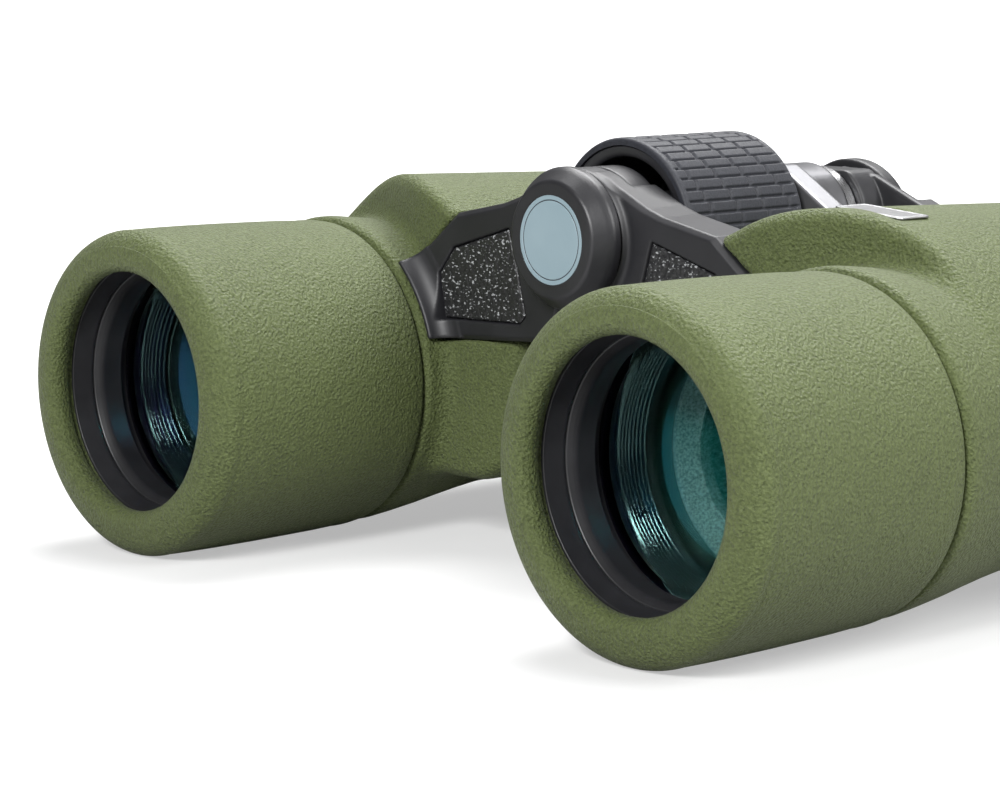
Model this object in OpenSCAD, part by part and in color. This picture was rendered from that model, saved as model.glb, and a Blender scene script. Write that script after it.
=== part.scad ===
// Porro-prism binoculars with rubber armour, a centre focus wheel and a right-eye dioptre.
// Objectives face -Y and eyepieces face +Y. The user's left half lies on +X.
// Stations along Y are measured from the plane of the objective openings.
// Heights are measured from the objective axes.

/* [Layout] */
// Distance between the two objective axes
objective_spacing = 130.4; // [130:0.2:131]
// Distance between the two eyepiece axes at rest
eyepiece_spacing = 65; // [64.4:0.2:65.6]
// Height of the hinge axis above the objective axes
hinge_h = 29.4; // [29.2:0.1:29.6]
// Height of the eyepiece axes above the objective axes
eyepiece_h = 14.7; // [14.5:0.1:14.9]
// Station of the rear end of the eyecups
length_s = 150; // [149.5:0.1:151]

/* [Objective end] */
// Outer radius of the rubber bell
bell_r = 30.1; // [29.9:0.1:30.4]
// How far the bell's outside sits below the objective axis
bell_drop = 0.5; // [0:0.1:0.6]
// Radius of the round lip around the opening
lip_r = 4.05; // [3.9:0.05:4.2]
// Station of the lip's widest ring
lip_s = 1.95; // [1.8:0.05:2.1]
// Station where the bell ends
bell_end = 46.4; // [46.2:0.1:46.5]
// Radius of the objective glass
glass_r = 22.2; // [21.8:0.1:22.4]

/* [Prism housing] */
// Centre of the upper lobe, across
lobe_x = 54; // [53.8:0.1:54.2]
// Centre of the upper lobe, above the objective axes
lobe_h = 1.5; // [1.3:0.1:1.7]
// Radius of the upper lobe
lobe_r = 36; // [35.8:0.1:36.2]
// Height of the flat underside beside the lower lobe
floor_h = -18; // [-18.4:0.1:-17.6]
// Station where the housing ends
housing_end = 115; // [114.8:0.1:115.1]
// Thickness of the rubber armour
skin = 2.2; // [2:0.1:2.3]
// Thickness of the metal housing wall
wall = 2; // [1.8:0.1:2.1]

/* [Bridge] */
// Station of the front face of the front arms
arm_front = 51; // [50.9:0.1:51.1]
// Station of the rear face of the front arms
arm_rear = 61.3; // [61.1:0.1:61.4]
// Radius of the hinge knuckles
knuckle_r = 12.5; // [12.2:0.1:12.6]
// Radius of the front cap
cap_r = 12.8; // [12.6:0.1:12.9]
// Station of the front cap's face
cap_front = 44.3; // [44:0.1:44.5]

/* [Focus wheel] */
// Outer radius of the wheel's grip
wheel_r = 17.3; // [17:0.1:17.5]
// Station of the wheel's front edge
wheel_front = 61.9; // [61.8:0.1:62]
// Station of the wheel's rear edge
wheel_rear = 91.2; // [91:0.1:91.3]
// Number of grooves across the wheel's grip
groove_count = 48; // [36:2:60]

/* [Eyepieces] */
// Radius of the fixed guide that each eyepiece slides on
guide_r = 12.4; // [12.3:0.1:12.5]
// Outer radius of the sliding eyepiece tube
tube_r = 14.8; // [14.7:0.1:14.9]
// Outer radius of the eyecup
cup_r = 18.3; // [18:0.1:18.4]
// Station where the eyecups begin
cup_start = 129; // [128.9:0.1:129.2]

/* [Hidden] */
$fn = 96;
EPS = 0.05;
FAR = 400;
lip_mid_r = bell_r - lip_r;
base_h = bell_r + bell_drop;
front_y = (lip_r - lip_s - length_s) / 2;
objective_x = objective_spacing / 2;
eyepiece_x = eyepiece_spacing / 2;

// How the two prisms carry the light from the objective axis to the eyepiece axis
shift_x = eyepiece_x - objective_x;
prism_step = norm([shift_x, eyepiece_h]) / sqrt(2);
shift_angle = atan2(eyepiece_h, shift_x);
rear_turn = shift_angle - 45;
front_turn = shift_angle + 45;
rear_prism_mid = [objective_x + prism_step / 2 * cos(rear_turn), prism_step / 2 * sin(rear_turn)];
front_prism_mid = [
    eyepiece_x - prism_step / 2 * cos(front_turn),
    eyepiece_h - prism_step / 2 * sin(front_turn)
];
beam_mid = [objective_x + prism_step * cos(rear_turn), prism_step * sin(rear_turn)];
prism_w = 21.6;
prism_tip = 5;
shelf_s = [87.45, 90.35];

// Stations of the hinge and focus train
bush_s = [49.9, 61.2];
bush_r = 5.6;
socket_r = 3.175;
socket_depth = 9;
knuckle_split = 55.45;
knuckle_room = knuckle_r + 0.6;
wheel_room = 20.5;
eyepiece_bulge_r = 15;
axle_r = 4.5;
axle_end = 72;
spindle_r = 4;
spindle_s = [76.5, 125];
washer_s = [91.5, 93.1];
rear_lug_s = [93.4, 98.8];
drum_s = [99.1, 111];
drum_r = 10.6;
sleeve_r = 7;
carriage_s = [114.2, 121.5];
back_plate_s = [121.8, 125.3];
cover_end = 118.4;
guide_end = 128.5;

// ---- placing ----

// A half drawn on +X, or mirrored to -X when side is -1
module half(side) {
    translate([0, front_y, base_h]) mirror([side < 0 ? 1 : 0, 0, 0]) children();
}

// Parts drawn about the hinge axis
module on_hinge() {
    translate([0, front_y, base_h + hinge_h]) children();
}

module at_objective() {
    translate([objective_x, 0, 0]) children();
}

module at_eyepiece() {
    translate([eyepiece_x, 0, eyepiece_h]) children();
}

module at_hinge() {
    translate([0, 0, hinge_h]) children();
}

// ---- basic shapes along Y ----

// Turns a [radius, station] outline about the Y axis
module lathe() {
    rotate([-90, 0, 0]) rotate_extrude() children();
}

// Extends an [across, height] outline from station s[0] to station s[1]
module slab(s) {
    translate([0, s[1], 0]) rotate([90, 0, 0]) linear_extrude(s[1] - s[0]) children();
}

module rod(r, s) {
    translate([0, s[0], 0]) rotate([-90, 0, 0]) cylinder(h = s[1] - s[0], r = r);
}

module ring(r_out, r_in, s) {
    difference() {
        rod(r_out, s);
        rod(r_in, [s[0] - 1, s[1] + 1]);
    }
}

// ---- housing shapes ----

// Cross-section of the prism housing, set in by o, without the round lower lobe
module housing_outline(o) {
    difference() {
        union() {
            translate([lobe_x, lobe_h]) circle(r = lobe_r - o);
            translate([eyepiece_x, eyepiece_h]) circle(r = eyepiece_bulge_r - o);
        }
        translate([-FAR / 2, floor_h + o - FAR]) square(FAR);
        translate([objective_x + 2, -FAR]) square(FAR);
        translate([0, hinge_h]) circle(r = wheel_room + o);
    }
}

// Round lower lobe as [radius, station], set in by o, from station s0 to s1
module lobe_profile(o, s0, s1) {
    polygon([
        [0, s0], [28.6 - o, s0], [29.3 - o, 48.2], [29.3 - o, 49.5], [28.8 - o, 54],
        [28 - o, 60], [27.2 - o, 65], [26.3 - o, 71], [25.4 - o, 77.5], [25.3 - o, s1], [0, s1]
    ]);
}

// The whole housing set in by o: upper lobe with a bowed front face, and the lower lobe
module housing_solid(o, s0, s1) {
    face_x = 33.1;
    face_s = 103.2;
    face_r = 51.5;
    step_s = 61.5;
    intersection() {
        slab([50, s1]) housing_outline(o);
        union() {
            translate([face_x, face_s, -FAR / 4]) cylinder(h = FAR / 2, r = face_r - o, $fn = 192);
            translate([-FAR / 2, step_s + o, -FAR / 4]) cube([FAR, FAR, FAR / 2]);
        }
    }
    at_objective() lathe() lobe_profile(o, s0, s1);
}

// Cross-section at the rear of the housing
module rear_outline(o) {
    housing_outline(o);
    translate([objective_x, 0]) circle(r = 25.3 - o);
}

// ---- objective end ----

// Sleeve with a round lip; its outside is a little lower than its bore
module bell_armour(side) {
    bore_r = 27;
    mouth_r = lip_mid_r - lip_r;
    color("darkolivegreen") half(side) at_objective() difference() {
        translate([0, 0, -bell_drop]) lathe() {
            intersection() {
                translate([lip_mid_r, lip_s]) circle(r = lip_r);
                translate([0, lip_s - lip_r]) square([bell_r, lip_r + EPS]);
            }
            polygon([
                [0, lip_s], [bell_r, lip_s], [bell_r, 25],
                [29.5, 43], [29, 45.8], [28.1, bell_end], [0, bell_end]
            ]);
        }
        rod(mouth_r, [-10, 60]);
        rod(bore_r, [lip_s, 60]);
    }
}

module objective_tube(side) {
    color("dimgray") half(side) at_objective() lathe() polygon([
        [23.6, 2.1], [26.9, 2.1], [26.9, 46.3], [24.9, 46.3], [24.9, 52.4], [23.6, 52.4]
    ]);
}

module objective_cell(side) {
    color("black") half(side) at_objective() lathe() polygon([
        [21.9, 7.5], [23.55, 7.5], [23.55, 24.3], [glass_r + EPS, 24.3], [glass_r + EPS, 13.2],
        [21.1, 13.2], [21.1, 9]
    ]);
}

module lens_retainer(side) {
    color("black") half(side) at_objective() lathe() polygon([
        [22.9, 3.4], [23.55, 3.4], [23.55, 7.4], [22.1, 7.4]
    ]);
}

// Cemented doublet: a crown glass in front and a flint glass behind it
module objective_lens(side) {
    crown_s = 12.6;
    joint_s = 20.6;
    rear_s = 23.2;
    front_bow = 110;
    joint_bow = 85;
    color("lightcyan") half(side) at_objective() {
        lathe() intersection() {
            translate([0, crown_s + front_bow]) circle(r = front_bow, $fn = 360);
            translate([0, joint_s - joint_bow]) circle(r = joint_bow, $fn = 360);
            translate([0, crown_s]) square([glass_r, joint_s - crown_s]);
        }
        lathe() difference() {
            translate([0, crown_s]) square([glass_r, rear_s - crown_s]);
            translate([0, joint_s + EPS - joint_bow]) circle(r = joint_bow, $fn = 360);
        }
    }
}

// Blackened tube behind the lens, with light-trap ridges and a stop ring at its end
module baffle_tube(side) {
    ridge_pitch = 1.07;
    first_ridge = 24.6;
    color("dimgray") half(side) at_objective() lathe() {
        translate([22.7, 24.6]) square([0.8, 26]);
        for (k = [0:7]) {
            s = first_ridge + k * ridge_pitch;
            polygon([[22.8, s], [21.9, s + ridge_pitch / 2], [22.8, s + ridge_pitch]]);
        }
        translate([17.7, 38]) square([5.3, 1.6]);
    }
}

// ---- prism housing ----

// Reach of the arms over the housing, cut out of the armour
module arm_cut(side) {
    at_hinge() slab([40, arm_rear]) front_arm_outline();
    at_hinge() slab(side > 0 ? rear_lug_s : drum_s) rear_arm_outline(side);
}

module housing_armour(side) {
    color("olivedrab") half(side) difference() {
        housing_solid(0, 46.7, housing_end);
        housing_solid(skin, 46, housing_end + 1);
        difference() {
            arm_cut(side);
            at_objective() rod(29.4, [40, 52.6]);
        }
        if (side > 0) plate_pocket();
        lug_seat();
        screw_places() rod(1.05, [100, 130]);
    }
}

module prism_housing(side) {
    o = skin + EPS;
    color("gray") half(side) difference() {
        housing_solid(o, 46.75, housing_end);
        intersection() {
            housing_solid(o + wall, 46, housing_end + 1);
            translate([-FAR / 2, 52.5, -FAR / 2]) cube(FAR);
        }
        at_objective() rod(24.95, [40, 53]);
        screw_places() rod(1.05, [100, 130]);
    }
}

module rear_cover(side) {
    color("dimgray") half(side) difference() {
        union() {
            slab([housing_end + 0.1, cover_end]) rear_outline(0.2);
            at_eyepiece() rod(guide_r, [cover_end - 1, guide_end]);
        }
        at_eyepiece() rod(guide_r - 1.6, [100, 130]);
        screw_places() rod(1.05, [100, 130]);
    }
}

// Four screws through each rear cover
module screw_places() {
    for (p = [[79, 22], [50, 34], [84, -12], [50, -15]]) {
        translate([p[0], 0, p[1]]) children();
    }
}

module cover_screws(side) {
    color("silver") half(side) screw_places() screw();
}

module screw() {
    difference() {
        union() {
            rod(1, [112, cover_end + 0.1]);
            rod(2.1, [cover_end + 0.05, cover_end + 1]);
        }
        slab([cover_end + 0.6, cover_end + 2]) square([2.8, 0.5], center = true);
        slab([cover_end + 0.6, cover_end + 2]) square([0.5, 2.8], center = true);
    }
}

module prism_shelf(side) {
    light_r = 10.4;
    color("silver") half(side) difference() {
        slab(shelf_s) rear_outline(skin + wall + 0.15);
        at_objective() rod(light_r + 1.6, [80, 95]);
        at_eyepiece() rod(light_r, [80, 95]);
        translate([beam_mid[0], 0, beam_mid[1]]) rod(light_r, [80, 95]);
    }
}

// Right-angle prism: its long face on station 0, its blunted edge towards +Y
module prism() {
    translate([0, 0, -prism_w / 2]) linear_extrude(prism_w) polygon([
        [-prism_step, 0], [prism_step, 0],
        [prism_tip / 2, prism_step - prism_tip / 2], [-prism_tip / 2, prism_step - prism_tip / 2]
    ]);
}

module prism_rounding() {
    translate([lobe_x, 0, lobe_h]) rod(lobe_r - skin - wall - 0.3, [50, 120]);
}

module place_rear_prism() {
    translate([rear_prism_mid[0], shelf_s[1] + EPS, rear_prism_mid[1]])
        rotate([0, -rear_turn, 0]) children();
}

module place_front_prism() {
    translate([front_prism_mid[0], shelf_s[0] - EPS, front_prism_mid[1]])
        rotate([0, -front_turn, 0]) mirror([0, 1, 0]) children();
}

module rear_prism(side) {
    color("lightblue") half(side) intersection() {
        place_rear_prism() prism();
        prism_rounding();
    }
}

module front_prism(side) {
    color("lightblue") half(side) difference() {
        intersection() {
            place_front_prism() prism();
            prism_rounding();
        }
        at_hinge() rod(wheel_room + skin + wall + 0.3, [50, 120]);
    }
}

// Spring strap over the blunted edge of a prism
module prism_clip() {
    strap_w = 6;
    strap_t = 0.5;
    tip_s = prism_step - prism_tip / 2 + EPS;
    outer = prism_w / 2 + EPS + strap_t;
    translate([-strap_w / 2, 0, 0]) rotate([0, 90, 0]) linear_extrude(strap_w) difference() {
        translate([-outer, 0]) square([2 * outer, tip_s + strap_t]);
        translate([-outer + strap_t, -1]) square([2 * (outer - strap_t), tip_s + 1]);
    }
}

module prism_clips(side) {
    color("silver") half(side) difference() {
        intersection() {
            union() {
                place_rear_prism() prism_clip();
                place_front_prism() prism_clip();
            }
            prism_rounding();
        }
        at_hinge() rod(wheel_room + skin + wall + 0.3, [50, 120]);
    }
}

// Loop for a neck strap, on the outer shoulder of the housing
lug_x = 93.8;
lug_mid = [100, 18];

module lug_seat() {
    translate([80, lug_mid[0] - 8.1, lug_mid[1] - 2.1]) cube([10, 16.2, 4.2]);
}

module strap_lug(side) {
    color("black") half(side) difference() {
        translate([80, lug_mid[0] - 8, lug_mid[1] - 2]) cube([lug_x - 80, 16, 4]);
        translate([87.35, lug_mid[0] - 5.2, 0]) cube([4.65, 10.4, 40]);
        housing_solid(skin, 46, 120);
    }
}

// Plain recessed plate on top of the left housing
module place_plate() {
    translate([56.8, 67.5, 36.35]) rotate([0, 4.5, 0]) children();
}

module plate_pocket() {
    place_plate() translate([-7.6, -4.1, 0]) cube([15.2, 8.2, 5]);
}

module left_top_plate() {
    color("gray") half(1) place_plate() translate([-7.5, -4, EPS]) cube([15, 8, 0.4]);
}

// ---- bridge ----

// Front arm seen from the front, as [across, height above the hinge]
module front_arm_outline() {
    polygon([
        [4, 11.4], [6.5, 10.8], [16.5, 6.2], [20.5, 4.9], [33, 2.4], [39.4, -2.7], [45.8, -7.7],
        [51.6, -9.2], [50, -15], [43, -21.6], [16.3, -20.1], [6.5, -19.4], [3.4, -12]
    ]);
}

// Rounded pad set into the front arm
module pad_outline(grow) {
    polygon([
        [19.2 - grow, 0.3 + grow], [34 + grow, -4 + grow], [38.3 + grow, -9], [37 + grow, -17.6 - grow],
        [15.2 - grow, -17 - grow], [13.4 - grow, -15.4], [16 - grow, -7]
    ]);
}

// Cove that leads from the arm's face to the rim of the collar
module arm_cove() {
    intersection() {
        at_objective() lathe() difference() {
            translate([28, 47.2]) square([5.6, 4]);
            translate([34.6, 46.4]) circle(r = 4.6);
        }
        at_hinge() slab([46, 52]) front_arm_outline();
    }
}

module front_arm(side) {
    own_s = side > 0 ? [bush_s[0], knuckle_split - 0.15] : [knuckle_split + 0.15, arm_rear];
    other_s = side > 0 ? [knuckle_split - 0.15, 70] : [40, knuckle_split + 0.15];
    bore_r = side > 0 ? bush_r + EPS : bush_r;
    color("black") half(side) difference() {
        union() {
            at_hinge() slab([arm_front, arm_rear]) front_arm_outline();
            arm_cove();
            at_hinge() rod(knuckle_r, own_s);
        }
        housing_solid(skin, 46, 120);
        at_objective() rod(29.4, [40, 52.6]);
        at_hinge() rod(knuckle_room, other_s);
        at_hinge() rod(bore_r, [40, 70]);
        at_hinge() slab([arm_front - 1, arm_front + 0.8]) pad_outline(0.05);
    }
}

module arm_pad(side) {
    color("black") half(side) at_hinge() slab([arm_front - 0.1, arm_front + 0.75]) pad_outline(0);
}

// Rear arm seen from the front, as [across, height above the hinge]
module rear_arm_outline(side) {
    polygon([
        [2, side > 0 ? 11.3 : 9.6], [side > 0 ? 8.5 : 4.5, side > 0 ? 11.2 : 9.6],
        [11.5, side > 0 ? 9.6 : 6.2], [24, 1.8], [26, -6], [26, -16], [8, -10], [3.4, -7]
    ]);
}

module rear_arm(side) {
    own_s = side > 0 ? rear_lug_s : drum_s;
    own_r = side > 0 ? knuckle_r - 0.7 : drum_r;
    color("silver") half(side) difference() {
        union() {
            at_hinge() slab(own_s) rear_arm_outline(side);
            at_hinge() rod(own_r, own_s);
        }
        housing_solid(skin, 46, 120);
        at_hinge() rod(side > 0 ? sleeve_r + EPS : sleeve_r, [80, 120]);
    }
}

// Hinge pin: its front end is a threaded bush for a tripod adapter, its rear end carries the wheel
module hinge_pin() {
    color("silver") on_hinge() difference() {
        union() {
            rod(bush_r, bush_s);
            rod(axle_r, [bush_s[1] - 1, axle_end]);
        }
        rod(socket_r, [bush_s[0] - 1, bush_s[0] + socket_depth]);
    }
}

module front_cap() {
    badge_r = 8.05;
    color("black") on_hinge() lathe() difference() {
        polygon([
            [0, cap_front], [10.4, cap_front], [12.5, 47.2], [cap_r, 47.8], [cap_r, 49.2],
            [12.5, 49.5], [0, 49.5]
        ]);
        square([badge_r, cap_front + 0.6]);
        translate([0, 46.4]) square([5, 10]);
    }
}

module cap_badge() {
    color("slategray") on_hinge() rod(8, [cap_front - 0.05, cap_front + 0.55]);
}

module rear_hinge_sleeve() {
    color("silver") on_hinge() ring(sleeve_r, spindle_r + EPS, [washer_s[0], drum_s[1]]);
}

module thrust_washer() {
    color("black") on_hinge() ring(14.4, sleeve_r, washer_s);
}

// ---- focus train ----

module focus_wheel() {
    core_r = wheel_r - 1.4;
    rim_r = 13.8;
    hub_r = 7.2;
    color("black") on_hinge() lathe() {
        translate([rim_r, wheel_front + 0.4]) square([core_r - rim_r, wheel_rear - wheel_front - 0.8]);
        translate([hub_r - 0.5, 84]) square([rim_r - hub_r + 1, 5]);
        translate([axle_r + 0.1, wheel_front + 0.2]) square([hub_r - axle_r - 0.1, 29]);
        translate([spindle_r + EPS, 77]) square([1, 13.6]);
    }
}

module wheel_grip() {
    core_r = wheel_r - 1.35;
    color("dimgray") on_hinge() difference() {
        lathe() polygon([
            [core_r, wheel_front], [wheel_r - 0.6, wheel_front], [wheel_r, wheel_front + 0.7],
            [wheel_r, wheel_rear - 0.7], [wheel_r - 0.6, wheel_rear], [core_r, wheel_rear]
        ]);
        for (k = [0:groove_count - 1]) {
            rotate([0, k * 360 / groove_count, 0]) translate([-0.25, wheel_front + 2, wheel_r - 0.5])
                cube([0.5, wheel_rear - wheel_front - 4, 2]);
        }
    }
}

// Screw that pushes both eyepieces, with a collar in front of the left arm's knuckle
module focus_spindle() {
    color("silver") on_hinge() {
        rod(spindle_r, spindle_s);
        ring(9.8, spindle_r - 1, [111.8, 113.9]);
    }
}

// ---- eyepieces ----

// Arm outline as [across, height above the hinge], from the knuckle to the eyepiece
module eyepiece_arm_outline() {
    polygon([[0, 9.4], [8.5, 8.2], [30, -1], [44, -8], [40, -27], [24, -26], [8, -9], [0, -8]]);
}

module eyepiece_arm(side) {
    plate_s = side > 0 ? [119.5, carriage_s[1]] : back_plate_s;
    thick_s = side > 0 ? [119.5, 125.3] : back_plate_s;
    color("black") half(side) difference() {
        union() {
            at_hinge() slab(plate_s) eyepiece_arm_outline();
            at_hinge() difference() {
                slab(thick_s) eyepiece_arm_outline();
                rod(18, [100, 140]);
            }
            at_eyepiece() rod(tube_r + 2.4, thick_s);
            if (side > 0) {
                at_hinge() slab(carriage_s) intersection() {
                    circle(r = 11.3);
                    translate([-20, -20]) square([40, 29.2]);
                }
            } else {
                translate([0, 0, 26.2]) rod(13.9, back_plate_s);
            }
        }
        at_eyepiece() rod(tube_r, [100, 140]);
        at_hinge() rod(side > 0 ? spindle_r + EPS : spindle_r, [100, 140]);
    }
}

module eyepiece_tube(side) {
    color("black") half(side) at_eyepiece() ring(tube_r, guide_r + EPS, [119.4, 139]);
}

module ocular_barrel(side) {
    barrel_r = guide_r - EPS;
    color("dimgray") half(side) at_eyepiece() lathe() polygon([
        [10.4, 130.8], [barrel_r, 130.8], [barrel_r, 141.4], [8.6, 141.4], [8.6, 140.6],
        [9.3, 140.6], [9.3, 136.6], [10.4, 135.6]
    ]);
}

// Lens with two bulging faces, as wide as r, between stations s[0] and s[1]
module eye_glass(r, s, bow) {
    lathe() intersection() {
        translate([0, s[0] + bow]) circle(r = bow, $fn = 360);
        translate([0, s[1] - bow]) circle(r = bow, $fn = 360);
        translate([0, s[0]]) square([r, s[1] - s[0]]);
    }
}

module field_lens(side) {
    color("lightcyan") half(side) at_eyepiece() eye_glass(10.35, [131, 135.4], 42);
}

module eye_lens(side) {
    color("lightcyan") half(side) at_eyepiece() eye_glass(9.25, [136.7, 140.5], 32);
}

// Key ring that rises with the eyecup without turning
module eyecup_sleeve(side) {
    color("gray") half(side) at_eyepiece() ring(15.8, tube_r + 0.1, [cup_start + 0.4, 145]);
}

module eyecup(side) {
    color("black") half(side) at_eyepiece() lathe() polygon([
        [15.9, cup_start], [cup_r - 0.6, cup_start], [cup_r, cup_start + 0.8], [cup_r, 145],
        [cup_r - 0.8, length_s - 0.8], [cup_r - 2.2, length_s], [12.6, length_s], [11.6, 148.8],
        [12.4, 146.2], [15.9, 146.2]
    ]);
}

module dioptre_ring() {
    color("dimgray") half(-1) at_eyepiece() difference() {
        ring(17.6, tube_r + 0.1, [125.7, 128.7]);
        for (k = [0:35]) {
            rotate([0, k * 10, 0]) translate([-0.4, 126.3, 17.1]) cube([0.8, 1.8, 2]);
        }
    }
}

// ---- nodes ----

prism_housing(-1);  // right_prism_housing
housing_armour(-1);  // right_housing_armour
objective_tube(-1);  // right_objective_tube
bell_armour(-1);  // right_bell_armour
objective_lens(-1);  // right_objective_lens
objective_cell(-1);  // right_objective_cell
lens_retainer(-1);  // right_lens_retainer
baffle_tube(-1);  // right_baffle_tube
prism_shelf(-1);  // right_prism_shelf
front_prism(-1);  // right_front_prism
rear_prism(-1);  // right_rear_prism
prism_clips(-1);  // right_prism_clips
rear_cover(-1);  // right_rear_cover
front_arm(-1);  // right_front_arm
arm_pad(-1);  // right_arm_pad
rear_arm(-1);  // right_rear_arm
eyepiece_arm(-1);  // right_eyepiece_arm
eyepiece_tube(-1);  // right_eyepiece_tube
ocular_barrel(-1);  // right_ocular_barrel
field_lens(-1);  // right_field_lens
eye_lens(-1);  // right_eye_lens
eyecup_sleeve(-1);  // right_eyecup_sleeve
eyecup(-1);  // right_eyecup
strap_lug(-1);  // right_strap_lug
prism_housing(1);  // left_prism_housing
housing_armour(1);  // left_housing_armour
objective_tube(1);  // left_objective_tube
bell_armour(1);  // left_bell_armour
objective_lens(1);  // left_objective_lens
objective_cell(1);  // left_objective_cell
lens_retainer(1);  // left_lens_retainer
baffle_tube(1);  // left_baffle_tube
prism_shelf(1);  // left_prism_shelf
front_prism(1);  // left_front_prism
rear_prism(1);  // left_rear_prism
prism_clips(1);  // left_prism_clips
rear_cover(1);  // left_rear_cover
front_arm(1);  // left_front_arm
arm_pad(1);  // left_arm_pad
rear_arm(1);  // left_rear_arm
eyepiece_arm(1);  // left_eyepiece_arm
eyepiece_tube(1);  // left_eyepiece_tube
ocular_barrel(1);  // left_ocular_barrel
field_lens(1);  // left_field_lens
eye_lens(1);  // left_eye_lens
eyecup_sleeve(1);  // left_eyecup_sleeve
eyecup(1);  // left_eyecup
strap_lug(1);  // left_strap_lug
hinge_pin();
front_cap();
cap_badge();
focus_wheel();
wheel_grip();
thrust_washer();
rear_hinge_sleeve();
focus_spindle();
dioptre_ring();
left_top_plate();
cover_screws(-1);  // right_cover_screws
cover_screws(1);  // left_cover_screws
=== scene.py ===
"""Porro-prism binoculars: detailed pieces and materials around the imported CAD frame.

Shapes are worked out in millimetres, in a half's own coordinates: x across from the hinge plane,
s along the barrel from the plane of the objective opening, h above the objective axis.
"""

import math

import bpy
import numpy as np
from mathutils import Matrix, Vector


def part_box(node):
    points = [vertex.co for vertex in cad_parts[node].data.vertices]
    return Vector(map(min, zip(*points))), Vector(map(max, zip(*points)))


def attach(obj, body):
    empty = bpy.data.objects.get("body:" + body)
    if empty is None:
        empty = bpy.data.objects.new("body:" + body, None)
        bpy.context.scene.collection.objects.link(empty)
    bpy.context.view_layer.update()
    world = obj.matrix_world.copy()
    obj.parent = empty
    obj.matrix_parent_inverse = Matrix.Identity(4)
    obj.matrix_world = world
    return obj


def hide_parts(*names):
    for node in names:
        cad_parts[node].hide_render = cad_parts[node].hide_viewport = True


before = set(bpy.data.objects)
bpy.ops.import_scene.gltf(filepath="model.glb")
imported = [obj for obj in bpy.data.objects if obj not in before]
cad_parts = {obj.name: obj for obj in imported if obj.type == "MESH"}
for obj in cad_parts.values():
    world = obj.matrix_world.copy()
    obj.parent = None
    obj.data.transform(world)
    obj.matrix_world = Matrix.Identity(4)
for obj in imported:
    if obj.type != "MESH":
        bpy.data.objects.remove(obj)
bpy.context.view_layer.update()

# ---------------------------------------------------------------- places taken from the frame

MM = 0.001
# station of the focus wheel's front rim; it ties the stations to the frame
WHEEL_FRONT = 61.9


def middle(node):
    low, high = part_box(node)
    return (low + high) / 2


CUP_MID = middle("left_eyecup")
STATION_0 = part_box("wheel_grip")[0].y - WHEEL_FRONT * MM
AXIS_Z = middle("left_objective_lens").z
OBJECTIVE_X = middle("left_objective_lens").x / MM
EYEPIECE_X = CUP_MID.x / MM
EYEPIECE_H = (CUP_MID.z - AXIS_Z) / MM
HINGE_H = (middle("wheel_grip").z - AXIS_Z) / MM

OBJECTIVE = (OBJECTIVE_X, 0.0)
EYEPIECE = (EYEPIECE_X, EYEPIECE_H)
HINGE = (0.0, HINGE_H)
BODY = {1: "left_half", -1: "right_half"}
SIDE_NAME = {1: "left", -1: "right"}


def span(node):
    """First and last station of a CAD node."""
    low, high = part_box(node)
    return (low.y - STATION_0) / MM, (high.y - STATION_0) / MM


def to_row(points, side=1):
    """Half coordinates in millimetres to the row frame in metres."""
    return np.asarray(points, float) * [side * MM, MM, MM] + [0, STATION_0, AXIS_Z]


# ---------------------------------------------------------------- meshes


def add_mesh(name, points, faces, material, body, side=1, slot=None, replaces=(), sharp=None):
    """A mesh piece from half coordinates, mirrored to -X when side is -1."""
    mesh = bpy.data.meshes.new(name)
    faces = [f[::-1] for f in faces] if side < 0 else faces
    sizes = np.array([len(f) for f in faces])
    loops = np.concatenate([np.asarray(f) for f in faces])
    mesh.vertices.add(len(points))
    mesh.vertices.foreach_set("co", to_row(points, side).ravel())
    mesh.loops.add(len(loops))
    mesh.loops.foreach_set("vertex_index", loops.astype(np.int32))
    mesh.polygons.add(len(sizes))
    mesh.polygons.foreach_set("loop_start", np.r_[0, np.cumsum(sizes)[:-1]].astype(np.int32))
    mesh.update(calc_edges=True)
    mesh.validate()
    mesh.polygons.foreach_set("use_smooth", np.ones(len(mesh.polygons), bool))
    if sharp:
        mesh.set_sharp_from_angle(angle=math.radians(sharp))
    piece = bpy.data.objects.new(name, mesh)
    bpy.context.scene.collection.objects.link(piece)
    mesh.materials.append(material)
    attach(piece, body)
    if replaces:
        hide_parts(*replaces)
    return piece


def arc(middle_point, radius, start, end, count=10):
    """Points (radius from the axis, station) on a round stretch; angles in degrees from outward."""
    radii = (radius, radius) if np.isscalar(radius) else radius
    turn = np.radians(np.linspace(start, end, count))
    return [
        (middle_point[0] + radii[0] * math.cos(t), middle_point[1] + radii[1] * math.sin(t))
        for t in turn
    ]


def rounded(points, count=5):
    """Closed outline with each corner (r, s, fillet) rounded, and a support point beside each arc."""
    out = []
    total = len(points)
    for k, point in enumerate(points):
        here = np.array(point[:2], float)
        fillet = point[2] if len(point) > 2 else 0
        if fillet <= 0:
            out.append(tuple(here))
            continue
        before = np.array(points[k - 1][:2], float) - here
        after = np.array(points[(k + 1) % total][:2], float) - here
        reach = min(fillet, 0.45 * np.hypot(*before), 0.45 * np.hypot(*after))
        before /= np.hypot(*before)
        after /= np.hypot(*after)
        out.append(tuple(here + before * reach * 1.2))
        for t in np.linspace(0, 1, count):
            a = here + before * reach * (1 - t)
            b = here + after * reach * t
            out.append(tuple(a * (1 - t) + b * t))
        out.append(tuple(here + after * reach * 1.2))
    return out


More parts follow.
